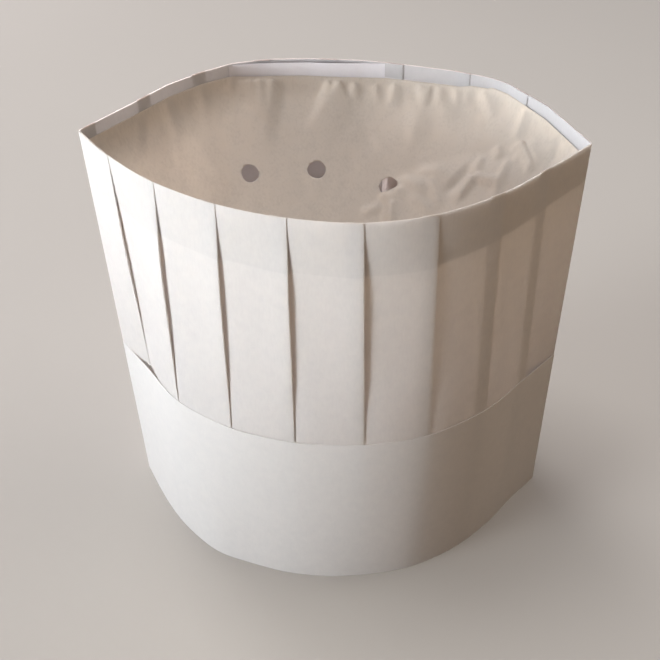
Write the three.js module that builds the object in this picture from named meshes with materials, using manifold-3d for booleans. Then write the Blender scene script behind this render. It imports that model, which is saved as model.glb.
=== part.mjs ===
// Flat-folding pleated paper chef toque, standing open on its band.
// Millimetres, +Z up. The origin is on the table plane, at the centre of the
// footprint. The front wall bulges towards -Y, the back wall towards +Y, and
// the two side creases lie at the -X (left) and +X (right) ends.
//
// The wall is one web of knife pleats. A panel runs outward over the next one,
// turns round at an outer fold edge, returns under itself, and ends at an inner
// fold line, where the next panel starts. The hat folds flat about the inner
// fold lines and the side creases, so each panel is its own rigid piece, with
// its stretch of the headband outside it.
//
// Each piece is drawn in its panel's frame: the origin is on the inner fold
// line where the panel starts, +X runs along the panel and -Y points outward.

import * as THREE from 'three';
import Module from 'manifold-3d';
import { mergeVertices } from 'three/addons/utils/BufferGeometryUtils.js';

const wasm = await Module();
wasm.setup();

// ---------------------------------------------------------------- dimensions
const HAT_HEIGHT = 240;        // table to rim
const BAND_HEIGHT = 103;
const HALF_WEB = 300;          // crease to crease along one side
const CREASE_SPAN = 242.0036;  // straight distance between the side creases
const CREASE_MIDDLE = [-0.072, 1.294]; // midway between the creases, in plan

const PAPER = 0.3;             // thickness of the web and the tissue
const BAND_PAPER = 0.4;        // thickness of the headband
const GAP = 0.3;               // clearance between neighbouring layers
const END_GAP = 0.15;          // pieces stop this far short of a fold line
const WEB_FOOT = 0.5;          // lower edge of the web, above the table

// Layers: distances of sheet middles outward from the plane of the fold lines.
const STEP = PAPER + GAP;
const LAYER_LEAF = 0.25;                       // hinge line of a tissue leaf
const LAYER_LAP = LAYER_LEAF + STEP;           // closing lap inside the back
const LAYER_INNER = LAYER_LAP + STEP;          // start of each panel
const LAYER_RETURN = LAYER_INNER + STEP;       // return strip of the pleat
const LAYER_FLAP = LAYER_RETURN + STEP;        // flap, outermost pleat layer
const LAYER_BAND = LAYER_FLAP + PAPER / 2 + GAP + BAND_PAPER / 2;
const LAYER_TAB = LAYER_BAND + BAND_PAPER + GAP; // overlapping end of the band

// ----------------------------------------------------------------- materials
const paper = ({ color, roughness }) =>
  new THREE.MeshStandardMaterial({ color, roughness, metalness: 0, side: THREE.DoubleSide });
const shellPaper = paper({ color: 0xf6f6f4, roughness: 0.82 });
const bandPaper = paper({ color: 0xf8f8f7, roughness: 0.78 });
const tissue = paper({ color: 0xdccfbb, roughness: 0.9 });
const lapPaper = paper({ color: 0xf0eff2, roughness: 0.82 });

// ------------------------------------------------------------ plan of the hat
// The panels walk round the hat with the outside on the right-hand side: the
// front from the left crease to the right crease, the back from right to left.
const PLEAT_PITCH = 34.4;      // between inner fold lines, away from the creases
const FULL_PANELS = 7;         // panels of that width on each side
const FRONT_FIRST_WIDTH = 20;
const BACK_FIRST_WIDTH = 49.7;

// Heading of each panel, degrees anticlockwise from +X.
const FRONT_HEADINGS = [-58.26, -48.8, -34.98, -19.77, -3.87, 11.99, 27.11, 40.77, 52.95];
const BACK_HEADINGS = [123.31, 146.49, 162.07, 175.73, 188.54, 201.54, 215.8, 232.36, 244.63];

// How far the headband runs on past the creases.
const BAND_REACH_LEFT = 1.5;
const BAND_REACH_RIGHT = 1.9;

const radians = (degrees) => (degrees * Math.PI) / 180;

// Widths of one side's panels; the last one takes up the rest of the web.
function panelWidths(firstWidth) {
  const lastWidth = HALF_WEB - firstWidth - FULL_PANELS * PLEAT_PITCH;
  return [firstWidth, ...Array(FULL_PANELS).fill(PLEAT_PITCH), lastWidth];
}

// Plan positions of the fold lines, from one crease to the other.
function foldLines(start, widths, headings) {
  const corners = [start];
  widths.forEach((width, i) => {
    const [x, y] = corners[i];
    const heading = radians(headings[i]);
    corners.push([x + width * Math.cos(heading), y + width * Math.sin(heading)]);
  });
  return corners;
}

function makeSide({ name, start, firstWidth, headings, startReach, endReach }) {
  const widths = panelWidths(firstWidth);
  const corners = foldLines(start, widths, headings);
  return { name, widths, headings, corners, startReach, endReach };
}

const [middleX, middleY] = CREASE_MIDDLE;
const front = makeSide({
  name: 'front',
  start: [middleX - CREASE_SPAN / 2, middleY],
  firstWidth: FRONT_FIRST_WIDTH,
  headings: FRONT_HEADINGS,
  startReach: BAND_REACH_LEFT,
  endReach: BAND_REACH_RIGHT,
});
const back = makeSide({
  name: 'back',
  start: [middleX + CREASE_SPAN / 2, middleY],
  firstWidth: BACK_FIRST_WIDTH,
  headings: BACK_HEADINGS,
  startReach: BAND_REACH_RIGHT,
  endReach: BAND_REACH_LEFT,
});

// Indices of the panels that hold the midpoint of each side's web.
const FRONT_MIDDLE = 4;
const BACK_MIDDLE = 3;

const hat = new THREE.Group();

// Adds a piece in the frame of one panel of a side.
function place(name, geometry, material, side, index) {
  const mesh = new THREE.Mesh(geometry, material);
  const [x, y] = side.corners[index];
  mesh.name = name;
  mesh.position.set(x, y, 0);
  mesh.rotation.z = radians(side.headings[index]);
  hat.add(mesh);
}

// -------------------------------------------------------------------- sheets
// Unit normal on the left of the segment from one point to the next.
function leftNormal([x0, y0], [x1, y1]) {
  const length = Math.hypot(x1 - x0, y1 - y0);
  return [-(y1 - y0) / length, (x1 - x0) / length];
}

// Closed outline, with mitred corners, of a sheet that follows a middle line.
function ribbon(line, thickness) {
  const normals = line.slice(1).map((point, i) => leftNormal(line[i], point));
  const leftEdge = [];
  const rightEdge = [];
  line.forEach(([x, y], i) => {
    const before = normals[i - 1] ?? normals[0];
    const after = normals[i] ?? before;
    const miter = [before[0] + after[0], before[1] + after[1]];
    const scale = thickness / 2 / (miter[0] * before[0] + miter[1] * before[1]);
    leftEdge.push([x + miter[0] * scale, y + miter[1] * scale]);
    rightEdge.push([x - miter[0] * scale, y - miter[1] * scale]);
  });
  return leftEdge.concat(rightEdge.reverse());
}

// Upright sheet over a middle line of [along the panel, outward] points.
function sheet(line, thickness, bottom, top) {
  const outline = ribbon(line, thickness)
    .map(([along, outward]) => new THREE.Vector2(along, -outward));
  const geometry = new THREE.ExtrudeGeometry(new THREE.Shape(outline), {
    depth: top - bottom,
    bevelEnabled: false,
  });
  geometry.translate(0, 0, bottom);
  return geometry;
}

// Flat upright sheet within one layer.
function flatSheet({ from, to, layer, thickness, bottom, top }) {
  return sheet([[from, layer], [to, layer]], thickness, bottom, top);
}

function toManifold(geometry) {
  geometry.deleteAttribute('normal');
  geometry.deleteAttribute('uv');
  const merged = mergeVertices(geometry, 1e-5);
  return new wasm.Manifold(new wasm.Mesh({
    numProp: 3,
    vertProperties: new Float32Array(merged.attributes.position.array),
    triVerts: new Uint32Array(merged.index.array),
  }));
}

function fromManifold(manifold) {
  const mesh = manifold.getMesh();
  const geometry = new THREE.BufferGeometry();
  const positions = new Float32Array(mesh.vertProperties);
  geometry.setAttribute('position', new THREE.BufferAttribute(positions, 3));
  geometry.setIndex(new THREE.BufferAttribute(new Uint32Array(mesh.triVerts), 1));
  geometry.computeVertexNormals();
  return geometry;
}

// --------------------------------------------------------------- wall panels
const PLEAT_DEPTH = 8;         // how far a flap laps over the next panel
const CLIMB_START_MARGIN = 1.2; // from the previous panel's flap edge to the climb
const CLIMB_END_MARGIN = 1;    // from the end of the climb to the next fold line
const PLEAT_BOTTOM = BAND_HEIGHT + 0.6; // lower edge of the folded part
const TONGUE_TOP = BAND_HEIGHT + 1.2;   // the tongue runs up into the folded part
const TONGUE_THINNING = 0.04;  // the tongue is this much thinner than the paper
const TONGUE_INSET = 0.05;     // and starts this much later
const CREASE_REACH = 0.2;      // how far a side's last panel passes its crease

// Above the headband the panel climbs from the inner layer to the flap layer,
// laps over the next panel and returns under itself. Inside the headband it is
// a plain tongue between its two fold lines.
function pleatPanel(width) {
  const tip = width + PLEAT_DEPTH - PAPER / 2;
  const climb = [
    [PLEAT_DEPTH + CLIMB_START_MARGIN, LAYER_INNER],
    [width - CLIMB_END_MARGIN, LAYER_FLAP],
  ];
  const foldedLine = [
    [END_GAP, LAYER_INNER],
    ...climb,
    [tip, LAYER_FLAP],
    [tip, LAYER_RETURN],
    [width + END_GAP, LAYER_RETURN],
  ];
  const tongueLine = [
    [END_GAP + TONGUE_INSET, LAYER_INNER],
    ...climb,
    [width - END_GAP, LAYER_FLAP],
  ];
  const folded = sheet(foldedLine, PAPER, PLEAT_BOTTOM, HAT_HEIGHT);
  const tongue = sheet(tongueLine, PAPER - TONGUE_THINNING, WEB_FOOT, TONGUE_TOP);
  return fromManifold(toManifold(folded).add(toManifold(tongue)));
}

// The last panel of a side runs flat into its crease.
function creasePanel(width) {
  return flatSheet({
    from: END_GAP,
    to: width + CREASE_REACH,
    layer: LAYER_INNER,
    thickness: PAPER,
    bottom: WEB_FOOT,
    top: HAT_HEIGHT,
  });
}

// ------------------------------------------------------------------ headband
function bandSheet(from, to, layer) {
  return flatSheet({ from, to, layer, thickness: BAND_PAPER, bottom: 0, top: BAND_HEIGHT });
}

function addWall(side) {
  const last = side.widths.length - 1;
  side.widths.forEach((width, i) => {
    const panel = i === last ? creasePanel(width) : pleatPanel(width);
    place(`${side.name}_pleat_panel_${i + 1}`, panel, shellPaper, side, i);

    const bandStart = END_GAP - (i === 0 ? side.startReach : 0);
    const bandEnd = width - END_GAP + (i === last ? side.endReach : 0);
    const band = bandSheet(bandStart, bandEnd, LAYER_BAND);
    place(`${side.name}_headband_${i + 1}`, band, bandPaper, side, i);
  });
}

// Overlapping end of the headband, outside the middle of the back.
const TAB_START = 3;
const TAB_END = 29;

function addBandTab() {
  const tab = bandSheet(TAB_START, TAB_END, LAYER_TAB);
  place('headband_end_tab', tab, bandPaper, back, BACK_MIDDLE);
}

// --------------------------------------------------------------- closing lap
// Far end of the pleated web, glued inside three back panels to close the ring.
const LAP_TOP = 236;
// [start, end] along each panel, from the middle back panel onwards
const LAP_SPANS = [[7.5, 34], [0.4, 34], [0.4, 22.5]];

function addClosingLap() {
  LAP_SPANS.forEach(([from, to], i) => {
    const lap = flatSheet({
      from,
      to,
      layer: LAYER_LAP,
      thickness: PAPER,
      bottom: WEB_FOOT,
      top: LAP_TOP,
    });
    place(`closing_lap_${i + 1}`, lap, lapPaper, back, BACK_MIDDLE + i);
  });
}

// -------------------------------------------------------------- tissue crown
// A trough of two leaves that hang from the front and back walls. Each leaf is
// cut to the plan of its wall and hinged along that side's middle panel.
const LEAF_HINGE_Z = 222;
const LEAF_TILT = radians(50); // from hanging straight down
const LEAF_REACH_BACK = 70;    // inward reach of the back leaf, in plan
const LEAF_REACH_FRONT = 72.5;
const LEAF_SIDE_INSET = 4;     // shift of each side edge towards the middle
const LEAF_TOP_INSET = 1.2;    // inward shift of the outline from the wall, in plan
const VENT_RADIUS = 6.5;
const VENT_SEGMENTS = 32;
// [hat X, distance down the back leaf]
const VENTS = [[-40, 44], [-9, 43], [26, 50]];

// A side's fold lines as [along, inward] in the frame of one of its panels.
function cornersInFrame({ corners, headings }, index) {
  const [originX, originY] = corners[index];
  const cosine = Math.cos(radians(headings[index]));
  const sine = Math.sin(radians(headings[index]));
  return corners.map(([x, y]) => {
    const dx = x - originX;
    const dy = y - originY;
    return [dx * cosine + dy * sine, dy * cosine - dx * sine];
  });
}

// Corners from one index outwards, ending at the crease or cut off at the
// reach, then carried straight in to the leaf's bottom edge if they fall short.
function leafEdge(corners, from, direction, reach, shift) {
  const edge = [];
  for (let i = from; i >= 0 && i < corners.length; i += direction) {
    const [along, inward] = corners[i];
    if (inward > reach) {
      const [lastAlong, lastInward] = corners[i - direction];
      const share = (reach - lastInward) / (inward - lastInward);
      edge.push([lastAlong + share * (along - lastAlong) + shift, reach]);
      break;
    }
    edge.push([along + shift, inward]);
  }
  const [endAlong, endInward] = edge[edge.length - 1];
  if (endInward < reach) edge.push([endAlong, reach]);
  return edge;
}

// Flat outline of a leaf as [along, down the leaf] points.
function leafOutline(side, index, reach) {
  const corners = cornersInFrame(side, index);
  const startEdge = leafEdge(corners, index, -1, reach, LEAF_SIDE_INSET);
  const endEdge = leafEdge(corners, index + 1, 1, reach, -LEAF_SIDE_INSET);
  const sine = Math.sin(LEAF_TILT);
  return [...startEdge.reverse(), ...endEdge].map(([along, inward]) => [
    along,
    Math.min(inward + LEAF_TOP_INSET, reach) / sine,
  ]);
}

function ventHole([along, down]) {
  const rim = [];
  for (let i = 0; i < VENT_SEGMENTS; i++) {
    const angle = (2 * Math.PI * i) / VENT_SEGMENTS;
    rim.push(new THREE.Vector2(
      along + VENT_RADIUS * Math.cos(angle),
      -down + VENT_RADIUS * Math.sin(angle),
    ));
  }
  return new THREE.Path(rim);
}

function leafGeometry(outline, vents) {
  const shape = new THREE.Shape(outline.map(([along, down]) => new THREE.Vector2(along, -down)));
  shape.holes.push(...vents.map(ventHole));
  const geometry = new THREE.ExtrudeGeometry(shape, { depth: PAPER, bevelEnabled: false });
  geometry.translate(0, 0, -PAPER / 2);
  // Drawn flat with its length along -Y: stand it up so that it hangs down from
  // the hinge line, then swing its foot inward, towards +Y of the panel frame.
  geometry.rotateX(Math.PI / 2);
  geometry.rotateX(LEAF_TILT);
  geometry.translate(0, -LAYER_LEAF, LEAF_HINGE_Z);
  return geometry;
}

function addLeaf(side, index, reach, vents) {
  const leaf = leafGeometry(leafOutline(side, index, reach), vents);
  place(`crown_${side.name}_leaf`, leaf, tissue, side, index);
}

function addCrown() {
  // The middle back panel runs towards -X, nearly parallel to the X axis.
  const hingeStartX = back.corners[BACK_MIDDLE][0];
  const vents = VENTS.map(([x, down]) => [hingeStartX - x, down]);
  addLeaf(back, BACK_MIDDLE, LEAF_REACH_BACK, vents);
  addLeaf(front, FRONT_MIDDLE, LEAF_REACH_FRONT, []);
}

// ------------------------------------------------------------------ assembly
addWall(front);
addWall(back);
addBandTab();
addClosingLap();
addCrown();

export default hat;
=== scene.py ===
"""A paper hat: a pleated wall, a headband round its foot and a tissue crown sunk inside the rim.

The hat stands on z = 0. Its side creases lie at about y = 0, left at -x and right at +x;
the front wall bows towards -y and the back wall towards +y. Shapes are worked out in mm and
built in metres. Each side is a web walked from crease to crease with the outside of the hat
on the right: the front from left to right, the back from right to left. Along it, u is the
distance from the starting crease and an offset is measured outwards from the plan line.
"""

import math

import bmesh
import bpy
import numpy as np
from mathutils import Matrix, Vector


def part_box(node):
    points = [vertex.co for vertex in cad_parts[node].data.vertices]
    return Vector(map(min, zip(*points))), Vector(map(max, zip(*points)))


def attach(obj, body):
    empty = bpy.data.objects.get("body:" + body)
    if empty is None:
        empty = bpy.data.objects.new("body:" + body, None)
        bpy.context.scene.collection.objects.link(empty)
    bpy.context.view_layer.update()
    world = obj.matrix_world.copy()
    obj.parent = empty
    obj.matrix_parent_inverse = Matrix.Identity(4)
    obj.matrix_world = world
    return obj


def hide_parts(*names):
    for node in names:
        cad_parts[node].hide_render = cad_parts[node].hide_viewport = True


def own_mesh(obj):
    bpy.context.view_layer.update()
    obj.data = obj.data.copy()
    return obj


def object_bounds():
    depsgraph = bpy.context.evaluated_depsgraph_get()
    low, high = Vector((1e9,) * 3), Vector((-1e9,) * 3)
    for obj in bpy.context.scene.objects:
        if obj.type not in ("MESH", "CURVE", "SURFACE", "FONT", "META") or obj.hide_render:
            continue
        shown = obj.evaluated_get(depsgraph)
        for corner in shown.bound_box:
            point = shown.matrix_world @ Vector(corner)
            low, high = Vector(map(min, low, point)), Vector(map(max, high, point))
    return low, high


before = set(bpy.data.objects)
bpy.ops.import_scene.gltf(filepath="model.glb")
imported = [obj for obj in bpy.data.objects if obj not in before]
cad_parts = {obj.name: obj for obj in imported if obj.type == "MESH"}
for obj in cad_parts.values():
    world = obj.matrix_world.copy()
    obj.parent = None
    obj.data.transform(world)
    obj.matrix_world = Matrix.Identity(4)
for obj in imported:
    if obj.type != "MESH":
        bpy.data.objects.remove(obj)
cad_low, cad_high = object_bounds()

# ------------------------------------------------------------------ driving sizes, mm
MM = 0.001
RIM_Z = cad_high[2] / MM  # cut rim of the pleated wall
BAND_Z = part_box("front_headband_5")[1][2] / MM  # cut top of the headband
WEB = 300.0  # length of each side from crease to crease
FLAP = 8.0  # how far each flap reaches past its inner fold
PITCH = 34.4  # spacing of the inner folds
PANELS = 9  # panels on each side
FOLD_U = {  # inner folds, with a crease at each end
    "front": np.r_[0, 20 + PITCH * np.arange(PANELS - 1), WEB],
    "back": np.r_[0, 49.7 + PITCH * np.arange(PANELS - 1), WEB],
}
WALL_T = 0.16  # thickness of the wall's paper
BAND_T = 0.3  # thickness of the headband's paper
GLUE_LOW = RIM_Z - 30.0  # lower edge of the glued tissue margin
GLUE_CLIMB_X = (40.0, 118.0)  # on the front that edge climbs between these two x,
GLUE_CLIMB = 8.0  # by this much, towards the right crease
TISSUE_TOP = RIM_Z - 8.6  # where the crown tissue leaves the front wall

# ------------------------------------------------------------------ plan outlines
# columns: u, x, y of the outermost face of the paper
RIM_FRONT = [
    (0, -123.4, -0.2), (28, -105.9, -21.4), (62.4, -81.3, -42.9), (96.8, -51.6, -59.0),
    (131.2, -19.2, -68.5), (165.6, 15.0, -71.1), (200, 48.3, -63.3), (234.4, 78.5, -45.5),
    (268.8, 101.2, -24.6), (300, 122.8, -3.6),
]
BAND_FRONT = [
    (0, -117.3, 0.1), (28, -101.4, -19.9), (62.4, -80.6, -46.3), (96.8, -50.8, -65.1),
    (131.2, -17.5, -74.3), (165.6, 18.0, -74.9), (200, 51.9, -66.6), (234.4, 82.1, -47.2),
    (268.8, 104.8, -22.3), (300, 122.2, -2.8),
]
BASE_FRONT = [
    (0, -112.5, 0.0), (57.4, -81.7, -48.1), (82.6, -62.6, -64.4), (101.6, -44.8, -71.2),
    (125.6, -21.8, -77.5), (148.6, 1.0, -79.3), (171.4, 23.5, -77.1), (195.0, 46.1, -71.2),
    (221.6, 69.3, -58.4), (254.8, 93.5, -35.8), (276.2, 106.6, -19.0), (291.6, 116.7, -7.6),
    (300, 122.0, -1.8),
]
# front wall beside the left crease, where it stands off the headband
NEAR_LEFT = [
    (8, -112.76, -5.6), (20, -105.9, -14.2), (31, -99.6, -22.2), (36, -96.6, -26.0),
    (42, -92.9, -30.6),
]
# columns: x, y of the back rim, from the right crease to the left one
RIM_BACK = [
    (122.8, -3.6), (105.5, 30.0), (88.4, 51.1), (79.7, 57.1), (59.5, 64.3), (25.3, 71.5),
    (13.7, 73.3), (-16.4, 74.5), (-34.2, 72.9), (-44.5, 70.8), (-55.8, 67.5), (-72.0, 56.8),
    (-86.4, 44.4), (-97.2, 31.2), (-123.4, -0.2),
]
WALL_INSET = 0.46  # from the headband's outer face in to the wall's
CREASE_INSET = 0.42  # the same at a crease
U = np.linspace(0, WEB, 601)  # stations at which every plan is held


def unit_rows(vectors):
    return vectors / np.hypot(*vectors.T)[:, None]


def right_of(directions):
    """Unit vectors to the right of the walk, which is outwards."""
    along = unit_rows(directions)
    return np.stack([along[:, 1], -along[:, 0]], 1)


def smoothed(rows, width, **padding):
    """Rows of two columns averaged over a bell-shaped window."""
    kernel = np.hanning(width)
    kernel /= kernel.sum()
    half = width // 2
    padded = np.pad(rows, ((half, half), (0, 0)), **padding)
    return np.stack([np.convolve(padded[:, c], kernel, "valid") for c in (0, 1)], 1)


def smoothstep(x):
    x = np.clip(x, 0, 1)
    return x * x * (3 - 2 * x)


def polyline_at(points, fractions):
    """Points at these fractions of a polyline's length."""
    points = np.array(points, float)
    run = np.r_[0, np.cumsum(np.hypot(*np.diff(points, axis=0).T))]
    wanted = np.asarray(fractions) * run[-1]
    return np.stack([np.interp(wanted, run, points[:, c]) for c in (0, 1)], 1)


def spline(nodes, kink):
    """A smooth curve through nodes (u, x, y); kink is how far it leans to straight chords."""
    nodes = np.array(nodes, float)
    knots, points = nodes[:, 0], nodes[:, 1:]
    widths = np.diff(knots)
    slope = np.diff(points, axis=0) / widths[:, None]
    tangent = np.empty_like(points)
    weighted = slope[:-1] * widths[1:, None] + slope[1:] * widths[:-1, None]
    tangent[1:-1] = weighted / (widths[1:] + widths[:-1])[:, None]
    tangent[0] = 1.5 * slope[0] - 0.5 * tangent[1]
    tangent[-1] = 1.5 * slope[-1] - 0.5 * tangent[-2]
    i = np.clip(np.searchsorted(knots, U, side="right") - 1, 0, len(knots) - 2)
    t = ((U - knots[i]) / widths[i])[:, None]
    width = widths[i][:, None]
    smooth = (
        (2 * t**3 - 3 * t**2 + 1) * points[i]
        + (t**3 - 2 * t**2 + t) * width * tangent[i]
        + (-2 * t**3 + 3 * t**2) * points[i + 1]
        + (t**3 - t**2) * width * tangent[i + 1]
    )
    chord = points[i] + t * (points[i + 1] - points[i])
    return smooth * (1 - kink) + chord * kink


def carried(nodes, front_nodes, bulge):
    """The back rim's nodes moved to the creases of a front outline, pushed out by bulge."""
    nodes = np.array(nodes, float)
    old_start, old_chord = nodes[0, 1:], nodes[-1, 1:] - nodes[0, 1:]
    start = np.array(front_nodes[-1][1:], float)
    chord = np.array(front_nodes[0][1:], float) - start
    old_length, length = np.hypot(*old_chord), np.hypot(*chord)
    old_along, along = old_chord / old_length, chord / length
    rel = nodes[:, 1:] - old_start
    run = rel @ old_along * (length / old_length)
    off = rel @ np.array((-old_along[1], old_along[0])) * bulge
    nodes[:, 1:] = start + np.outer(run, along) + np.outer(off, (-along[1], along[0]))
    return nodes


def inset(nodes, amounts):
    """Nodes moved inwards, towards the middle of the hat, by so many mm each."""
    nodes = np.array(nodes, float)
    outwards = right_of(np.gradient(nodes[:, 1:], nodes[:, 0], axis=0))
    nodes[:, 1:] -= outwards * np.broadcast_to(amounts, len(nodes))[:, None]
    return nodes


back_u = np.r_[0, 24, FOLD_U["back"][1:-1], WEB]
rim_back = np.column_stack([back_u, polyline_at(RIM_BACK, back_u / WEB)])
band_back = carried(rim_back, BAND_FRONT, bulge=1.025)
base_back = carried(rim_back, BASE_FRONT, bulge=1.055)
wall_band_front = inset(
    BAND_FRONT[:1] + NEAR_LEFT + BAND_FRONT[2:],
    [0.36, 0.5, 1.5, 2.5, 1.5, 0.5] + [WALL_INSET] * 7 + [CREASE_INSET],
)
wall_band_back = inset(
    band_back, [CREASE_INSET] + [WALL_INSET] * (len(band_back) - 2) + [CREASE_INSET]
)
rim_back_eased = smoothed(
    polyline_at(RIM_BACK, U / WEB), 9, mode="reflect", reflect_type="odd"
)
# outlines at z = 0, at the headband's top and, for the wall, at the rim
PLAN = {
    ("wall", "front"): (
        spline(inset(BASE_FRONT, WALL_INSET), kink=0.12),
        spline(wall_band_front, kink=0.25),
        spline(RIM_FRONT, kink=0.3),
    ),
    ("wall", "back"): (
        spline(inset(base_back, WALL_INSET), kink=0.2),
        spline(wall_band_back, kink=0.25),
        rim_back_eased,
    ),
    ("band", "front"): (spline(BASE_FRONT, kink=0.12), spline(BAND_FRONT, kink=0.2)),
    ("band", "back"): (spline(base_back, kink=0.2), spline(band_back, kink=0.2)),
}


def plan_at(kind, side, z):
    """Positions and outward normals over U at height z."""
    levels = PLAN[kind, side]
    if z <= BAND_Z:
        low, high, share = levels[0], levels[1], z / BAND_Z
    else:
        low, high, share = levels[1], levels[2], (z - BAND_Z) / (RIM_Z - BAND_Z)
    points = low * (1 - share) + high * share
    normals = smoothed(right_of(np.gradient(points, U, axis=0)), 15, mode="edge")
    return points, unit_rows(normals)


def crease_normals(kind, z):
    """Mitre vectors at the left and right crease at height z: outward, longer than one."""
    front, back = plan_at(kind, "front", z)[1], plan_at(kind, "back", z)[1]
    mitres = {}
    for name, a, b in (("left", front[0], back[-1]), ("right", front[-1], back[0])):
        middle = (a + b) / np.hypot(*(a + b))
        mitres[name] = middle / max(0.55, float(middle @ a))
    return mitres


def lay(kind, side, path, z):
    """Positions (mm) of (u, offset) points at height z, with the two creases mitred."""
    points, normals = plan_at(kind, side, z)
    u, offset = path[:, 0], path[:, 1]
    u_held = np.clip(u, 0, WEB)
    base = np.stack([np.interp(u_held, U, points[:, c]) for c in (0, 1)], 1)
    outwards = np.stack([np.interp(u_held, U, normals[:, c]) for c in (0, 1)], 1)
    mitres = crease_normals(kind, z)
    start, end = ("left", "right") if side == "front" else ("right", "left")
    outwards[u <= 1e-6] = mitres[start]
    outwards[u >= WEB - 1e-6] = mitres[end]
    return np.column_stack([base + outwards * offset[:, None], np.full(len(base), z)])


def back_u_of_x(kind, x, z):
    """The u at which a back web passes x at height z."""
    points, _ = plan_at(kind, "back", z)
    order = np.argsort(points[:, 0])
    return float(np.interp(x, points[order, 0], U[order]))


# ------------------------------------------------------------------ mesh helpers
SMOOTH_BELOW = math.radians(35)  # edges bent more than this stay sharp


def add_object(name, data):
    thing = bpy.data.objects.new(name, data)
    bpy.context.scene.collection.objects.link(thing)
    return thing


def sheet(name, outer, inner):
    """A closed thin sheet from two (levels, columns, 3) grids in mm."""
    outer, inner = np.array(outer), np.array(inner)
    rows, cols, _ = outer.shape
    verts = np.concatenate([outer.reshape(-1, 3), inner.reshape(-1, 3)]) * MM

    def a(row, col):
        return row * cols + col

    def b(row, col):
        return (rows + row) * cols + col

    faces = []
    end, top = cols - 1, rows - 1
    for r in range(top):
        for c in range(end):
            faces.append((a(r, c), a(r, c + 1), a(r + 1, c + 1), a(r + 1, c)))
            faces.append((b(r, c), b(r + 1, c), b(r + 1, c + 1), b(r, c + 1)))
        faces.append((a(r, 0), a(r + 1, 0), b(r + 1, 0), b(r, 0)))
        faces.append((a(r, end), b(r, end), b(r + 1, end), a(r + 1, end)))
    for c in range(end):
        faces.append((a(0, c), b(0, c), b(0, c + 1), a(0, c + 1)))
        faces.append((a(top, c), a(top, c + 1), b(top, c + 1), b(top, c)))

    mesh = bpy.data.meshes.new(name)
    mesh.from_pydata(verts.tolist(), [], faces)
    mesh.validate()
    bm = bmesh.new()
    bm.from_mesh(mesh)
    bmesh.ops.remove_doubles(bm, verts=bm.verts, dist=1e-7)
    bmesh.ops.dissolve_degenerate(bm, dist=1e-7, edges=bm.edges)
    bmesh.ops.recalc_face_normals(bm, faces=bm.faces)
    for edge in bm.edges:
        if len(edge.link_faces) == 2:
            edge.smooth = edge.calc_face_angle(0) < SMOOTH_BELOW
    for face in bm.faces:
        face.smooth = True
    bm.to_mesh(mesh)
    bm.free()
    return add_object(name, mesh)


def strip(name, kind, side, u, levels, inner_offset, thickness):
    """A sheet along a web; inner_offset(z) is the offset of its inner face."""
    outer, inner = [], []
    for z in levels:
        path = np.column_stack([u, np.broadcast_to(inner_offset(z), u.shape)])
        outer.append(lay(kind, side, path + np.array((0, thickness)), z))
        inner.append(lay(kind, side, path, z))
    return sheet(name, outer, inner)


def panel_u(side, i, wide_count, narrow_count):
    """Stations across panel i, with fewer on a narrow one."""
    start, end = FOLD_U[side][i - 1], FOLD_U[side][i]
    return np.linspace(start, end, wide_count if end - start > 15 else narrow_count)


# ------------------------------------------------------------------ node helpers
def add_node(tree, kind, inputs=None, **settings):
    """A new node; each input is given as a value or as the socket that feeds it."""
    node = tree.nodes.new(kind)
    for key, value in settings.items():
        setattr(node, key, value)
    for key, value in (inputs or {}).items():
        if isinstance(value, bpy.types.NodeSocket):
            tree.links.new(value, node.inputs[key])
        else:
            node.inputs[key].default_value = value
    return node


def maths(tree, operation, *inputs):
    node = add_node(tree, "ShaderNodeMath", dict(enumerate(inputs)), operation=operation)
    return node.outputs[0]


def map_range(tree, value, source, target):
    """Value carried from the range source to the range target."""
    inputs = {"Value": value, "From Min": source[0], "From Max": source[1],
              "To Min": target[0], "To Max": target[1]}
    return add_node(tree, "ShaderNodeMapRange", inputs).outputs[0]


def scaled(tree, color, factor):
    inputs = {0: color, "Scale": factor}
    return add_node(tree, "ShaderNodeVectorMath", inputs, operation="SCALE").outputs[0]


def noise(tree, vector, scale, **more):
    inputs = {"Vector": vector, "Scale": scale, **more}
    return add_node(tree, "ShaderNodeTexNoise", inputs).outputs["Fac"]


def color_ramp(tree, value, *colors, stops=(0, 1)):
    node = add_node(tree, "ShaderNodeValToRGB", {"Fac": value})
    for element, stop, color in zip(node.color_ramp.elements, stops, colors):
        element.position = stop
        element.color = (*color, 1)
    return node.outputs["Color"]


def new_material(name):
    material = bpy.data.materials.new(name)
    material.use_nodes = True
    material.node_tree.nodes.clear()
    return material, material.node_tree


# ------------------------------------------------------------------ paper materials
def paint_rim_inner_shade(tree, z, color, through, margin_z):
    """Above margin_z less light comes through, and the inside of the wall is painted darker as
    shade.
    """
    heights = (margin_z * MM, (margin_z + 1.5) * MM)
    through = maths(tree, "MULTIPLY", through, map_range(tree, z, heights, (1.0, 0.36)))
    # on the inside, the normal points towards the middle of the hat
    geometry = add_node(tree, "ShaderNodeNewGeometry").outputs
    flat = add_node(tree, "ShaderNodeVectorMath", {0: geometry["Position"], 1: (1, 1, 0)},
                    operation="MULTIPLY").outputs[0]
    away = add_node(tree, "ShaderNodeVectorMath", {0: geometry["True Normal"], 1: flat},
                    operation="DOT_PRODUCT").outputs["Value"]
    inside = maths(tree, "LESS_THAN", away, 0.0)
    # painted shade: the inside face near the rim is darkened by up to 45 %
    painted_inner_shade = maths(tree, "MULTIPLY", inside, map_range(tree, z, heights, (0.0, 0.45)))
    return scaled(tree, color, maths(tree, "SUBTRACT", 1.0, painted_inner_shade)), through


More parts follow.
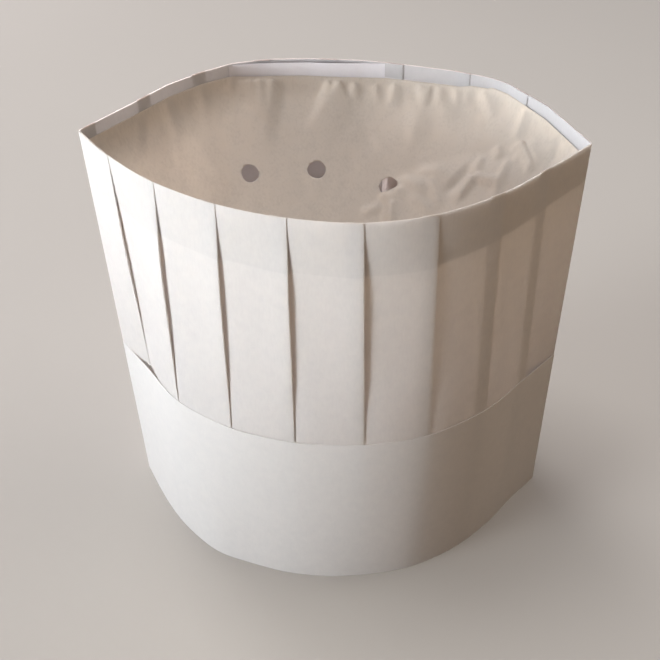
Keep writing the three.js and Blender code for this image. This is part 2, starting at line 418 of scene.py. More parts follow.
def darken_over_glue(tree, position, color, glue_z):
    """The paper is a little darker above the climbing lower edge of the glue behind it."""
    climb_x = [x * MM for x in GLUE_CLIMB_X]
    climb = map_range(tree, position["X"], climb_x, (0.0, GLUE_CLIMB * MM))
    level = maths(tree, "SUBTRACT", position["Z"], climb)
    heights = ((glue_z - 0.4) * MM, (glue_z + 0.4) * MM)
    return scaled(tree, color, map_range(tree, level, heights, (1.0, 0.965)))


def paper(name, color, shade, translucency, through, bump, grain=1.0, rough=0.78,
          mottle=0.25, painted_shade_above=None, glued_above=None, edge=False, folds=False):
    """Matt fibre paper: cloudy, finely fibred, bumpy, with light coming through.

    color and shade are its light and dark tones, through tints the light that passes,
    grain scales the texture and mottle is the weight of the fibres in the tone. edge
    lightens the cut rim, and folds scales the colour by the mesh's painted_fold_light,
    which is painted light and shade on the folds.
    """
    material, tree = new_material(name)
    coords = add_node(tree, "ShaderNodeTexCoord").outputs["Object"]
    cloud = noise(tree, coords, 160 * grain, Detail=6, Roughness=0.62)
    stretch = (900 * grain, 900 * grain, 240 * grain)
    fibre_map = add_node(tree, "ShaderNodeMapping", {"Vector": coords, "Scale": stretch})
    fibre = noise(tree, fibre_map.outputs["Vector"], 1.0, Detail=4)
    wide = maths(tree, "MULTIPLY", noise(tree, coords, 14, Detail=3), 0.2)
    fine = maths(tree, "MULTIPLY_ADD", fibre, mottle, wide)
    tone = maths(tree, "MULTIPLY_ADD", cloud, 0.55, fine)
    base = color_ramp(tree, tone, shade, color, stops=(0.3, 0.7))
    relief = maths(tree, "MULTIPLY_ADD", fibre, 0.6, cloud)
    normal = add_node(
        tree, "ShaderNodeBump", {"Strength": bump, "Distance": 0.00012, "Height": relief}
    ).outputs["Normal"]
    # share of translucent light, a little uneven with the clouds
    share = maths(tree, "MULTIPLY_ADD", cloud, 0.16, translucency - 0.08)

    if painted_shade_above is not None or glued_above is not None or edge:
        position = add_node(tree, "ShaderNodeSeparateXYZ", {0: coords}).outputs
    face_color = glow_color = base
    if painted_shade_above is not None:
        face_color, share = paint_rim_inner_shade(tree, position["Z"], base, share, painted_shade_above)
    if glued_above is not None:
        face_color = glow_color = darken_over_glue(tree, position, base, glued_above)
    if folds:
        # painted light and shade on the tissue's folds, read from the crown mesh
        fold_light = add_node(tree, "ShaderNodeAttribute", attribute_name="painted_fold_light")
        face_color = glow_color = scaled(tree, base, fold_light.outputs["Fac"])
    if edge:
        heights = ((RIM_Z - 0.75) * MM, (RIM_Z - 0.45) * MM)
        rim = map_range(tree, position["Z"], heights, (0.0, 0.86))
        share = maths(tree, "MAXIMUM", share, rim)

    face = add_node(tree, "ShaderNodeBsdfPrincipled", {
        "Roughness": rough, "Specular IOR Level": 0.22, "Sheen Weight": 0.05,
        "Base Color": face_color, "Normal": normal,
    })
    # sockets 6 and 7 of a colour mix are its two colours
    tint = add_node(tree, "ShaderNodeMix", {"Factor": 1, 6: glow_color, 7: (*through, 1)},
                    data_type="RGBA", blend_type="MULTIPLY")
    glow = add_node(tree, "ShaderNodeBsdfTranslucent",
                    {"Color": tint.outputs[2], "Normal": normal})
    mix = add_node(tree, "ShaderNodeMixShader",
                   {"Fac": share, 1: face.outputs[0], 2: glow.outputs[0]})
    add_node(tree, "ShaderNodeOutputMaterial", {"Surface": mix.outputs[0]})
    return material


MAT_WALL = paper(
    "pleated_paper", color=(0.912, 0.913, 0.924), shade=(0.847, 0.846, 0.86),
    translucency=0.6, through=(1.0, 0.955, 0.9), bump=0.5, mottle=0.45,
    glued_above=GLUE_LOW, edge=True,
)
# the back wall's paper, with painted shade on its inside above RIM_Z - 10
MAT_WALL_BACK = paper(
    "pleated_paper_back", color=(0.915, 0.905, 0.93), shade=(0.85, 0.838, 0.868),
    translucency=0.6, through=(1.0, 0.955, 0.9), bump=0.5, mottle=0.45,
    painted_shade_above=RIM_Z - 10, edge=True,
)
MAT_BAND = paper(
    "headband_paper", color=(0.878, 0.874, 0.876), shade=(0.818, 0.812, 0.816),
    translucency=0.42, through=(1.0, 0.95, 0.89), bump=0.33, grain=1.15,
)
# the wall's paper again, painted darker and cooler as shade for the lap inside the back
MAT_LAP_SHADED = paper(
    "lap_paper", color=(0.80, 0.79, 0.83), shade=(0.74, 0.73, 0.77),
    translucency=0.25, through=(1.0, 0.97, 0.96), bump=0.4,
)
MAT_HEM = paper(
    "crown_tissue_glued", color=(0.80, 0.75, 0.69), shade=(0.73, 0.68, 0.62),
    translucency=0.14, through=(1.0, 0.94, 0.86), bump=0.6, grain=0.8, rough=0.62,
)
MAT_TISSUE = paper(
    "crown_tissue", color=(0.845, 0.81, 0.765), shade=(0.73, 0.695, 0.65),
    translucency=0.58, through=(1.0, 0.95, 0.885), bump=0.9, grain=0.9, rough=0.62,
    mottle=0.6, folds=True,
)


def fit(piece, material, side, i, replaced=()):
    """Gives a piece its material and lets it ride panel i of a side.
    """
    piece.data.materials.append(material)
    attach(piece, f"{side}_{i}")
    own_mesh(piece)
    if replaced:
        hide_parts(*replaced)


# ------------------------------------------------------------------ pleated wall
WALL_LEVELS = np.r_[
    np.linspace(0.8, 96, 9), np.linspace(99, 109, 7), np.linspace(113, 232, 30), 236, 238.6, 240
]
# how far each flap's free edge stands off
LIFT = {
    "front": [0.85, 1.5, 1.45, 1.3, 1.0, 0.55, 0.08, 0.06],
    "back": [0.9, 0.7, 0.9, 0.3, 0.8, 0.9, 0.7, 0.4],
}
RIM_NOISE = np.random.default_rng(7).uniform(-0.12, 0.0, 20)  # unevenness of the cut rim


def depth(z, side, i=None):
    """How far in a panel starts from the outermost face.

    It is pressed at the rim and inside the headband.
    """
    loose = smoothstep((RIM_Z - z) / 42) * smoothstep((z - BAND_Z + 9) / 8)
    deep = (0.41 if side == "back" else 0.5) + 0.8 * loose
    if side == "front" and i == PANELS:
        above_band = smoothstep((z - BAND_Z + 14) / 10)
        deep += 0.6 * above_band * smoothstep((BAND_Z + 60 - z) / 60)
    return deep


def layer_gap(z):
    """Spacing between two layers at a fold."""
    return 0.19 + 0.23 * smoothstep((RIM_Z - z) / 42) * smoothstep((z - BAND_Z + 4) / 34)


def lift_profile(z):
    """0 at the rim, full about 45 mm down, a third above the headband, shut inside it."""
    if z <= BAND_Z - 8:
        return 0.03
    down = RIM_Z - z
    rise = smoothstep(down / 46)
    fade = 1 - 0.68 * smoothstep((down - 55) / (RIM_Z - BAND_Z - 60))
    shut = smoothstep((z - BAND_Z + 2) / 7)
    return rise * fade * (0.05 + 0.95 * shut)


def arc(u, offset, radius, angles):
    return np.column_stack([u + radius * np.cos(angles), offset + radius * np.sin(angles)])


def panel_path(side, i, z):
    """Middle line (u, offset) of panel i: its face, then back under its flap to the fold."""
    start, fold_u = FOLD_U[side][i - 1], FOLD_U[side][i]
    first, last = i == 1, i == PANELS
    front_last = side == "front" and last
    end = fold_u if last else fold_u + FLAP
    deep, next_deep, gap = depth(z, side, i), depth(z, side, i + 1), layer_gap(z)
    radius = gap / 2
    u = np.linspace(start + (0 if first else radius), end - (0 if last else radius), 21)
    share = (u - start) / (end - start)

    power = 1.0 if front_last else 1.0 + 5.0 * smoothstep((BAND_Z + 44 - z) / 42)
    offset = np.zeros_like(u) if first else -deep * (1 - share) ** power
    if front_last:  # hollow just above the headband
        near = smoothstep((z - BAND_Z + 10) / 8) * smoothstep((BAND_Z + 45 - z) / 42)
        hollow = np.sin(math.pi * np.clip((share - 0.12) / 0.84, 0, 1)) ** 0.8
        offset = offset - 1.6 * near * hollow
    if not last:
        lift = LIFT[side][i - 1] * lift_profile(z)
        if side == "front" and first:  # shut again well above the headband
            lift *= smoothstep((z - BAND_Z - 8) / 50)
        edge = end - min(22.0, 0.62 * (end - start))
        offset = offset + lift * smoothstep((u - edge) / (end - edge)) ** 1.25
    # paper panels bow a little between their folds
    bow = 0.22 * np.sin(math.pi * np.clip(share, 0, 1)) * (1 if z > BAND_Z else 0.3)
    if side == "back":
        bow = bow * (1 - 0.9 * smoothstep((z - RIM_Z + 16) / 9))
    offset = offset + bow

    parts = [np.column_stack([u, offset])]
    if not first:  # half of the hairpin at the inner fold this panel starts from
        angles = np.radians(np.linspace(180, 270, 4))[:-1]
        parts.insert(0, arc(start + radius, -deep + radius, radius, angles))
    if not last:  # round the free edge, back under the flap and half of the next hairpin
        top = offset[-1]
        angles = np.radians(np.linspace(90, -90, 8))[1:]
        parts.append(arc(end - radius, top - radius, radius, angles))
        return_u = np.linspace(end - radius, fold_u + radius, 8)[1:]
        low, high = -next_deep + gap, top - gap
        climb = smoothstep((return_u - fold_u) / FLAP)
        parts.append(np.column_stack([return_u, low + (high - low) * climb]))
        angles = np.radians(np.linspace(90, 180, 4))[1:]
        parts.append(arc(fold_u + radius, -next_deep + radius, radius, angles))
    return np.concatenate(parts)


def path_normals(path):
    """Left of the walk in (u, offset), which is outwards on a panel's face."""
    along = np.gradient(path, axis=0)
    along /= np.maximum(np.hypot(*along.T), 1e-9)[:, None]
    return np.stack([-along[:, 1], along[:, 0]], 1)


def wall_panel(side, i):
    outer, inner = [], []
    rim_noise = RIM_NOISE[i if side == "front" else PANELS + i]
    for z in WALL_LEVELS:
        path = panel_path(side, i, z)
        normals = path_normals(path)
        normals[0] = (0, 1) if i == 1 else (-1, 0)
        normals[-1] = (0, 1) if i == PANELS else (-1, 0)
        for rows, half in ((outer, WALL_T / 2), (inner, -WALL_T / 2)):
            points = lay("wall", side, path + normals * half, min(z, RIM_Z))
            points[:, 2] = z + rim_noise * smoothstep((z - 225) / 15)
            rows.append(points)
    panel = sheet(f"{side}_pleat_{i}", outer, inner)
    material = MAT_WALL if side == "front" else MAT_WALL_BACK
    fit(panel, material, side, i, [f"{side}_pleat_panel_{i}"])


# ------------------------------------------------------------------ headband
BAND_LEVELS = np.r_[0.0, np.linspace(0.6, 100, 16), 102.0, BAND_Z]


def headband(side, i):
    band = strip(f"{side}_band_{i}", "band", side, panel_u(side, i, 15, 7), BAND_LEVELS,
                 lambda z: -0.02 - BAND_T, BAND_T)
    fit(band, MAT_BAND, side, i, [f"{side}_headband_{i}"])


def headband_tab():
    """The headband's end, lying on the outside of the back and springing off at its edge."""
    ends = [back_u_of_x("band", corner[0] / MM, 50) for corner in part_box("headband_end_tab")]
    start, end = sorted(ends)
    u = np.linspace(start, end, 13)

    def inner_offset(z):
        curl = 0.35 + 0.65 * abs(z / BAND_Z - 0.5) * 2  # more at the top and the foot
        return 0.12 + (0.10 + 0.55 * smoothstep((u - (end - 7)) / 7) * curl)

    levels = np.clip(BAND_LEVELS, 0.25, BAND_Z - 0.4)
    tab = strip("headband_tab", "band", "back", u, levels, inner_offset, BAND_T)
    fit(tab, MAT_BAND, "back", 4, ["headband_end_tab"])


for side in ("front", "back"):
    for i in range(1, PANELS + 1):
        wall_panel(side, i)
        headband(side, i)
headband_tab()

# ------------------------------------------------------------------ closing lap
# inside the back wall, in three pieces parted at the wall's folds
LAP_START = back_u_of_x("wall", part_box("closing_lap_1")[1][0] / MM, RIM_Z)
LAP_END = back_u_of_x("wall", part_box("closing_lap_3")[0][0] / MM, RIM_Z)
LAP_CUTS = [LAP_START, FOLD_U["back"][4], FOLD_U["back"][5], LAP_END]
LAP_TOP = RIM_Z - 1.0
LAP_LEVELS = np.r_[
    np.linspace(BAND_Z + 2, 190, 9), np.linspace(198, LAP_TOP - 1, 12), LAP_TOP
]


def lap_share(u):
    return (u - LAP_START) / (LAP_END - LAP_START)


def lap_bulge(share, z):
    """How far the closing lap springs off the wall near the rim."""
    across = np.sin(math.pi * np.clip((share - 0.02) / 0.96, 0, 1)) ** 0.8
    return across * 2.9 * smoothstep((z - 196) / 44)


def closing_lap(k):
    u = np.linspace(LAP_CUTS[k - 1], LAP_CUTS[k], 17)
    lap = strip(f"lap_{k}", "wall", "back", u, LAP_LEVELS,
                lambda z: -depth(z, "back") - 0.19 - lap_bulge(lap_share(u), z), WALL_T)
    fit(lap, MAT_LAP_SHADED, "back", 3 + k, [f"closing_lap_{k}"])


for k in (1, 2, 3):
    closing_lap(k)

# ------------------------------------------------------------------ glued tissue margin
# how far below the rim the tissue starts along the back wall, by x
DROP_X = (-120, -96, -70, -58, -50, -44, -20, 12, 45, 64, 70.5, 79, 80.5, 90, 98, 106, 118)
DROP = (6.9, 6.7, 6.6, 7.0, 7.8, 8.3, 8.5, 9.3, 8.9, 8.6, 6.7, 6.3, 5.2, 5.8, 6.6, 7.4, 8.6)


def rim_x(side, u):
    points, _ = plan_at("wall", side, RIM_Z)
    return np.interp(u, U, points[:, 0])


def back_tissue_top(u):
    """Height of the tissue's upper edge on the back wall."""
    return RIM_Z - np.interp(rim_x("back", u), DROP_X, DROP)


def against_wall(side, u, z, clear):
    """Points on the inside of the wall and lap at (u, z), clear mm in from that layer."""
    heights = np.linspace(GLUE_LOW - 1, RIM_Z, 24)
    rows = []
    for height in heights:
        offset = np.full_like(u, -depth(height, side) - clear)
        if side == "back":
            share = lap_share(u)
            on_lap = smoothstep((share + 0.03) / 0.04) * smoothstep((1.03 - share) / 0.04)
            offset = offset - on_lap * 0.24 - lap_bulge(share, height)
        rows.append(lay("wall", side, np.column_stack([u, offset]), height))
    rows = np.array(rows)
    points = np.empty((len(u), 3))
    for c in range(len(u)):
        for k in (0, 1):
            points[c, k] = np.interp(z[c], heights, rows[:, c, k])
    points[:, 2] = z
    return points


def tissue_margin(side, i):
    """The glued strip of tissue on the inside of one panel."""
    u = panel_u(side, i, 19, 6)
    foot = np.full_like(u, GLUE_LOW)
    if side == "front":
        top = np.full_like(u, RIM_Z - 0.9)
        climb_from, climb_to = GLUE_CLIMB_X
        share = (rim_x("front", u) - climb_from) / (climb_to - climb_from)
        foot += GLUE_CLIMB * np.clip(share, 0, 1)
    else:
        top = back_tissue_top(u)
    levels = [foot + (top - foot) * t for t in np.linspace(0, 1, 10)]
    outer, inner = (
        [against_wall(side, u, z, clear) for z in levels] for clear in (0.22, 0.32)
    )
    hem = sheet(f"{side}_tissue_hem_{i}", outer, inner)
    fit(hem, MAT_HEM, side, i)


for side in ("front", "back"):
    for i in range(1, PANELS + 1):
        tissue_margin(side, i)

# ------------------------------------------------------------------ crown tissue: its sag
COLUMNS, HALF_ROWS = 230, 72  # columns along the hat, rows from each wall to the valley
SLOPE = 0.855  # fall per mm in from the wall
VALLEY = 5.0  # rounding of the valley between the two leaves
EDGE_DROP = 0.15  # how far below the tissue's top the sheet starts
EDGE_CLEAR = 0.42  # and how far in from the wall

column_share = np.linspace(0.006, 0.994, COLUMNS)
front_top = np.full(COLUMNS, TISSUE_TOP) - EDGE_DROP
back_top = back_tissue_top(WEB * (1 - column_share)) - EDGE_DROP
front_edge = against_wall("front", WEB * column_share, front_top, EDGE_CLEAR)
back_edge = against_wall("back", WEB * (1 - column_share), back_top, EDGE_CLEAR)


def drop_at(distance):
    """How far the tissue has dropped in from the wall: steep at first, then even."""
    return SLOPE * distance + 6.3 * (1 - np.exp(-distance / 2.6))


def sagging_grid():
    """Rows of points from the front edge down to the valley and up to the back edge."""
    half = np.hypot(*(back_edge - front_edge)[:, :2].T) / 2
    grid = np.zeros((2 * HALF_ROWS + 1, COLUMNS, 3))
    for k in range(2 * HALF_ROWS + 1):
        t = abs(k - HALF_ROWS) / HALF_ROWS  # 1 at a wall, 0 in the valley
        in_front = k <= HALF_ROWS
        distance = (1 - t) ** 1.25 * half
        share = distance / (2 * half)
        if not in_front:
            share = 1 - share
        row = front_edge * (1 - share)[:, None] + back_edge * share[:, None]
        rounded = half - np.sqrt((half - distance) ** 2 + VALLEY**2)
        at_wall = half - np.sqrt(half**2 + VALLEY**2)
        row[:, 2] = TISSUE_TOP - EDGE_DROP - drop_at(np.maximum(rounded - at_wall, 0))
        if t > 0:
            top = front_top if in_front else back_top
            row[:, 2] += (top - TISSUE_TOP + EDGE_DROP) * np.exp(-distance / 9.0)
        grid[k] = row
    return grid


grid = sagging_grid()
sheet_x, sheet_y, sheet_z = grid[..., 0], grid[..., 1], grid[..., 2]

# ------------------------------------------------------------------ crown tissue: its creases
# columns of the fold tables: x and y of the head, x and y of the foot, reach to the right
# and to the left of that line, height
PULLED_FOLDS = (  # under the back rim
    (-33.5, 69.5, -40.0, 38.0, 21, 5, 0.75), (-47.0, 68.0, -43.5, 58.0, 2.6, 2.2, 0.42),
    (-51.5, 67.0, -50.5, 60.0, 1.6, 2.4, 0.30), (-55.5, 66.0, -57.0, 61.0, 2.2, 1.6, 0.34),
    (-41.5, 68.5, -39.0, 54.0, 3.0, 2.0, 0.36), (1.5, 70.5, -18.0, 50.0, 3.0, 11.0, 0.55),
    (-4.5, 70.0, -12.0, 59.5, 2.0, 3.0, 0.5), (9.0, 70.0, 6.5, 62.0, 2.2, 4.0, 0.36),
    (43.0, 67.5, 47.5, 58.5, 2.0, 6.0, 0.5), (49.0, 66.0, 46.0, 60.0, 1.8, 1.6, 0.3),
    (53.7, 65.0, 52.2, 58.5, 1.8, 4.0, 0.36), (61.5, 63.5, 65.0, 56.0, 1.8, 5.0, 0.42),
    (69.0, 61.0, 66.5, 55.0, 1.8, 2.4, 0.3), (30.0, 69.0, 27.0, 61.0, 2.0, 5.0, 0.34),
    (20.0, 69.5, 22.5, 62.0, 1.8, 2.6, 0.26), (75.0, 57.5, 84.0, 47.0, 2.0, 5.0, 0.5),
    (-72.0, 56.0, -68.0, 49.0, 2.4, 5.0, 0.3), (-88.0, 41.0, -80.0, 33.0, 3.0, 6.0, 0.34),
    (96.0, 40.0, 90.0, 33.0, 2.4, 4.0, 0.4),
)
BILLOWS = (  # wide and soft, in the back leaf
    (-75, 40, -52, 18, 16, 16, 0.9), (44, 60, 38, 42, 12, 9, 0.7),
    (12, 60, 22, 42, 9, 12, -0.6), (62, 58, 84, 44, 9, 9, -0.6),
)
CRUMPLE_FOLDS = (  # sharp, at the right; two more columns: taper at the head and at the foot
    (24.6, 25.6, 29.0, 20.6, 1.6, 2.6, 0.9, 0.2, 0.3),
    (29.0, 20.8, 28.2, 12.0, 2.4, 3.0, 1.1, 0.2, 0.4),
    (24.4, 25.6, 40.0, 25.6, 3.0, 2.0, 0.9, 0.15, 0.6),
    (15.0, 18.2, 25.0, 20.6, 1.6, 3.0, 0.7, 0.4, 0.15),
    (63.5, 17.5, 71.8, 25.4, 2.2, 3.0, 1.2, 0.4, 0.15),
    (71.6, 25.6, 86.0, 18.4, 2.4, 2.6, 1.15, 0.15, 0.4),
    (58.0, 22.0, 73.0, 32.2, 3.4, 2.6, -0.85, 0.4, 0.4),
    (83.0, 36.0, 84.5, 30.0, 2.4, 2.4, 0.7, 0.3, 0.4),
    (90.5, 30.2, 94.6, 30.4, 1.4, 2.2, 0.7, 0.3, 0.2),
    (94.7, 30.8, 100.2, 13.6, 2.6, 1.4, 1.15, 0.1, 0.3),
    (94.2, 30.7, 91.5, 22.5, 1.6, 2.6, 0.5, 0.2, 0.5),
    (34.0, 31.0, 50.0, 22.0, 3.0, 4.0, 0.7, 0.4, 0.5),
    (44.0, 33.0, 60.0, 30.0, 3.0, 4.0, 0.5, 0.4, 0.5),
    (40.0, 22.0, 52.0, 12.0, 3.0, 3.0, 0.7, 0.4, 0.5),
    (50.0, 28.0, 56.0, 14.0, 3.0, 2.0, 0.6, 0.4, 0.5),
    (76.0, 34.0, 70.0, 27.0, 2.0, 3.0, 0.5, 0.4, 0.4),
    (88.0, 27.0, 80.0, 12.0, 2.4, 3.0, 0.8, 0.3, 0.5),
    (98.0, 28.0, 104.0, 14.0, 2.0, 3.0, 0.6, 0.3, 0.5),
)
# outline of the raised crumple: its back edge as x, y and its left edge as y, x
CRUMPLE_BACK = ((18, 24, 32, 43.5, 52, 67, 83, 94, 106),
                (12, 25, 34, 37.4, 39, 39.2, 36.2, 30, 14))
CRUMPLE_LEFT = ((-20, 4, 15.4, 20.8, 25.4, 36), (21, 24.2, 25.0, 25.2, 24.4, 27))
PULLED_GAIN = 3.2  # on the heights of the pulled folds
CRUMPLE_GAIN = 1.4  # on those of the crumple's folds beyond x = 32
RELIEF_GAIN = 1.7  # on everything together


def fold(x0, y0, x1, y1, reach_right, reach_left, height, head=0.15, foot=0.4, grow=0.5):
    """Lift of a crease from (x0, y0) to (x1, y1), widening by grow towards its foot."""
    dx, dy = x1 - x0, y1 - y0
    length = np.hypot(dx, dy)
    t = ((sheet_x - x0) * dx + (sheet_y - y0) * dy) / length**2
    leftward = ((sheet_x - x0) * -dy + (sheet_y - y0) * dx) / length
    taper = smoothstep((t + head * 0.4) / head) * smoothstep((1 - t) / foot)
    widen = 1 + grow * np.clip(t, 0, 1)
    tent = np.where(leftward > 0, 1 - leftward / (reach_left * widen),
                    1 + leftward / (reach_right * widen))
    return height * np.clip(tent, 0, 1) * taper


def random_creases(rng):
    lift = np.zeros_like(sheet_x)
    for _ in range(60):  # gathers running down from the glue lines
        share = rng.uniform(0.05, 0.95)
        edge, inwards = (back_edge, -1) if rng.random() < 0.6 else (front_edge, 1)
        x, y = (np.interp(share, column_share, edge[:, c]) for c in (0, 1))
        length = rng.uniform(8, 26)
        lean = rng.uniform(-0.35, 0.35)
        reach = rng.uniform(1.2, 4.0)
        lift += fold(x, y, x + lean * length, y + inwards * length, reach,
                     reach * rng.uniform(0.5, 2.2), rng.uniform(-0.16, 0.24),
                     head=0.2, foot=0.7)
    for _ in range(230):  # fine creases over the whole sheet
        x, y = rng.uniform(-105, 108), rng.uniform(-55, 62)
        angle = rng.uniform(0, math.pi)
        length = rng.uniform(6, 34)
        reach = rng.uniform(1.6, 7)
        lift += fold(x, y, x + length * math.cos(angle), y + length * math.sin(angle), reach,
                     reach * rng.uniform(0.4, 1.6), rng.uniform(-0.16, 0.16),
                     head=0.4, foot=0.4)
    return lift


lift = random_creases(np.random.default_rng(23))
for *line, height in PULLED_FOLDS:
    lift += fold(*line, height * PULLED_GAIN, head=0.1, foot=0.9)
for row in BILLOWS:
    lift += fold(*row, head=0.5, foot=0.5, grow=0)
# the crumple: the sheet pushed up into a pocket of sharp folds
pocket = smoothstep((np.interp(sheet_x, *CRUMPLE_BACK) - sheet_y) / 13)
pocket_left = np.clip((sheet_x - np.interp(sheet_y, *CRUMPLE_LEFT)) / 3.6, 0, 1)
lift += 1.7 * pocket * pocket_left * smoothstep((118 - sheet_x) / 40)
for *line, height, head, foot in CRUMPLE_FOLDS:
    lift += fold(*line, height * (CRUMPLE_GAIN if line[0] > 32 else 1.0), head, foot)

# the relief dies out at the walls and at the two creases
from_wall = np.minimum(*(
    np.hypot(sheet_x - edge[:, 0], sheet_y - edge[:, 1]) for edge in (front_edge, back_edge)
))
column = np.arange(COLUMNS)
at_ends = smoothstep(np.minimum(column, COLUMNS - 1 - column) / 14.0)[None, :]
raised = RELIEF_GAIN * lift * smoothstep((from_wall + 0.2) / 2.2) * at_ends
sheet_z += raised
# painted light and shade: lighter on the side of a fold that faces the lamps on the left, darker
# on the other
slope = np.gradient(raised, axis=1) / np.maximum(np.gradient(sheet_x, axis=1), 0.2)
slope[:, 1:-1] = (slope[:, :-2] + 2 * slope[:, 1:-1] + slope[:, 2:]) / 4
tones = (1 + 0.085 * np.tanh(4.2 * slope)).reshape(-1).tolist()
verts = [tuple(point) for point in grid.reshape(-1, 3)]

# ------------------------------------------------------------------ crown tissue: its vents
HOLES = [(-44.9, 32.5), (-10.0, 36.0), (27.9, 29.4)]  # x, y, in the back leaf
HOLE_R = 4.75
FAR = 1e3
# the fold of the crumple that covers the foot of the third hole: x, y
COVER = ((20, 23.5, 29.5, 32.8, 36), (24.6, 25.6, 27.3, 26.6, 25.4))


def hole_field():
    """Distance of each grid point outside the nearest hole, negative inside one."""
    field = np.full(sheet_z.shape, FAR)
    for x, y in HOLES:
        gap = np.hypot(sheet_x - x, (sheet_y - y) * math.hypot(1, SLOPE))
        turn = np.arctan2(sheet_y - y, sheet_x - x)
        wobble = 0.035 * np.sin(2 * turn + x) + 0.025 * np.sin(3 * turn + y)
        gap = gap - HOLE_R * (1 + wobble)
        if x > 0:
            gap = np.maximum(gap, np.interp(sheet_x, *COVER) - sheet_y)
        gap[:HALF_ROWS] = FAR
        field = np.minimum(field, gap)
    return field.reshape(-1)


outside = hole_field()
crossings = {}


def crossing(a, b):
    """The vertex where a hole's edge crosses from grid vertex a to b."""
    key = (min(a, b), max(a, b))
    if key not in crossings:
        t = outside[a] / (outside[a] - outside[b])
        start, end = np.array(verts[a]), np.array(verts[b])
        crossings[key] = len(verts)
        verts.append(tuple(start + (end - start) * t))
        tones.append(tones[a] + (tones[b] - tones[a]) * t)
    return crossings[key]


def trimmed(quad):
    """The corners of what a hole leaves of one grid cell."""
    corners = []
    for a, b in zip(quad, quad[1:] + quad[:1]):
        if outside[a] >= 0:
            corners.append(a)
        if (outside[a] >= 0) != (outside[b] >= 0):
            corners.append(crossing(a, b))
    return corners


def crown():
    faces = []
    for r in range(2 * HALF_ROWS):
        for c in range(COLUMNS - 1):
            low = r * COLUMNS + c
            high = low + COLUMNS
            corners = trimmed([low, low + 1, high + 1, high])
            if len(corners) >= 3:
                faces.append(corners)
    mesh = bpy.data.meshes.new("crown")
    mesh.from_pydata([(x * MM, y * MM, z * MM) for x, y, z in verts], [], faces)
    # the painted light and shade of the folds, stored on the crown mesh
    tone = mesh.attributes.new("painted_fold_light", "FLOAT", "POINT")
    tone.data.foreach_set("value", [float(t) for t in tones])
    bm = bmesh.new()
    bm.from_mesh(mesh)
    bmesh.ops.delete(bm, geom=[v for v in bm.verts if not v.link_faces], context="VERTS")
    bmesh.ops.recalc_face_normals(bm, faces=bm.faces)
    if sum(face.normal.z * face.calc_area() for face in bm.faces) < 0:
        bmesh.ops.reverse_faces(bm, faces=bm.faces)
    for face in bm.faces:
        face.smooth = True
    bm.to_mesh(mesh)
    bm.free()
    tissue = add_object("crown_tissue_sheet", mesh)
    solid = tissue.modifiers.new("thickness", "SOLIDIFY")
    solid.thickness = 0.0001
    solid.offset = 0
    fit(tissue, MAT_TISSUE, "front", 5,
        ["crown_back_leaf", "crown_front_leaf"])


crown()


# ------------------------------------------------------------------ floor
def floor(half_size):
    mesh = bpy.data.meshes.new("floor")
    corners = [(x * half_size, y * half_size, 0) for x, y in ((-1, -1), (1, -1), (1, 1), (-1, 1))]
    mesh.from_pydata(corners, [], [(0, 1, 2, 3)])
    ground = add_object("floor", mesh)
    material, tree = new_material("floor")
    coords = add_node(tree, "ShaderNodeTexCoord").outputs["Object"]
    pale = color_ramp(tree, noise(tree, coords, 3.0), (0.48, 0.455, 0.42), (0.51, 0.485, 0.45))
    # pale to the camera, but it throws back only a little warm light on the foot of the hat
    seen = add_node(tree, "ShaderNodeLightPath").outputs["Is Camera Ray"]
    color = add_node(tree, "ShaderNodeMix",
                     {"Factor": seen, 6: (0.12, 0.085, 0.055, 1), 7: pale}, data_type="RGBA")
    surface = add_node(tree, "ShaderNodeBsdfPrincipled",
                       {"Roughness": 0.85, "Base Color": color.outputs[2]})
    add_node(tree, "ShaderNodeOutputMaterial", {"Surface": surface.outputs[0]})
    mesh.materials.append(material)


floor(half_size=6)


# ------------------------------------------------------------------ lights, metres and watts
def area_light(name, place, aim, size, energy, color, spread=180):
    """A rectangular light at place facing aim; spread is in degrees."""
    light = bpy.data.lights.new(name, "AREA")
    light.spread = math.radians(spread)
    light.shape = "RECTANGLE"
    light.size, light.size_y = size
    light.energy = energy
    light.color = color
    lamp = add_object(name, light)
    lamp.location = place
    lamp.rotation_euler = (Vector(aim) - Vector(place)).to_track_quat("-Z", "Y").to_euler()


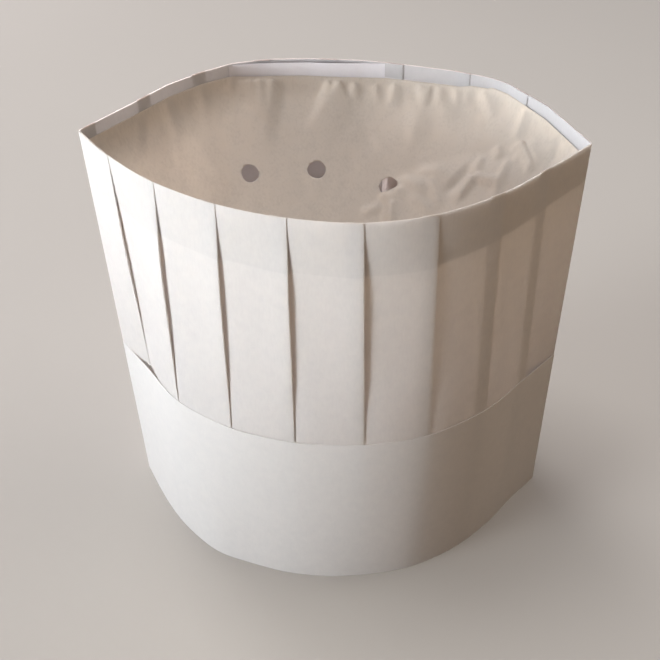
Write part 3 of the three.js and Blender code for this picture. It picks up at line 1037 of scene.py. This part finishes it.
area_light("window", place=(-2.32, -1.18, 0.75), aim=(0, 0, 0.75), size=(1.5, 1.2),
           energy=18.6, color=(0.935, 0.98, 1.0), spread=34)
area_light("ceiling", place=(-0.4, 0.25, 1.75), aim=(0, 0, 0.2), size=(0.7, 0.7),
           energy=13.6, color=(1.0, 0.98, 0.96))
area_light("ceiling_right", place=(0.75, 0.1, 1.75), aim=(0, 0, 0.2), size=(0.8, 0.8),
           energy=5.8, color=(1.0, 0.97, 0.93))
area_light("back_fill", place=(-1.2, 1.7, 0.2), aim=(0, 0.07, 0.12), size=(1.0, 0.3),
           energy=6, color=(1.0, 0.965, 0.98), spread=60)
area_light("reflector", place=(1.9, -1.5, 0.72), aim=(0, 0, 0.72), size=(1.2, 1.1),
           energy=0.75, color=(1.0, 0.70, 0.40), spread=24)


def warm_world(warm_side, strength):
    """A soft surround, cool all round but warm towards warm_side."""
    world = bpy.data.worlds.new("world")
    world.use_nodes = True
    tree = world.node_tree
    coords = add_node(tree, "ShaderNodeTexCoord").outputs["Generated"]
    facing = add_node(tree, "ShaderNodeVectorMath", {0: coords, 1: warm_side},
                      operation="DOT_PRODUCT").outputs["Value"]
    warmth = map_range(tree, facing, (-0.6, 0.8), (0.0, 1.0))
    color = color_ramp(tree, warmth, (0.88, 0.87, 1.0), (1.0, 0.74, 0.47))
    background = tree.nodes["Background"]
    tree.links.new(color, background.inputs["Color"])
    background.inputs["Strength"].default_value = strength
    bpy.context.scene.world = world


warm_world(warm_side=(0.75, -0.45, -0.48), strength=0.35)


# ------------------------------------------------------------------ camera
def camera(place, yaw, roll, lens):
    """A camera in front, looking down; yaw and roll in radians, lens in mm."""
    data = bpy.data.cameras.new("camera")
    data.sensor_width = 36
    data.lens = lens
    data.clip_start = 0.05
    viewer = add_object("camera", data)
    level_right = Vector((0.99961, yaw, 0)).normalized()
    level_up = Vector((-0.6613 * yaw, 0.6611, 0.7501)).normalized()
    right = math.cos(roll) * level_right + math.sin(roll) * level_up
    up = math.cos(roll) * level_up - math.sin(roll) * level_right
    axes = zip(right, up, right.cross(up), place)
    viewer.matrix_world = Matrix((*axes, (0, 0, 0, 1)))
    bpy.context.scene.camera = viewer


camera(place=(0.01210, -0.49465, 0.5510), yaw=0.0279, roll=0.003, lens=65.509091)
bpy.context.scene.view_settings.view_transform = "Standard"
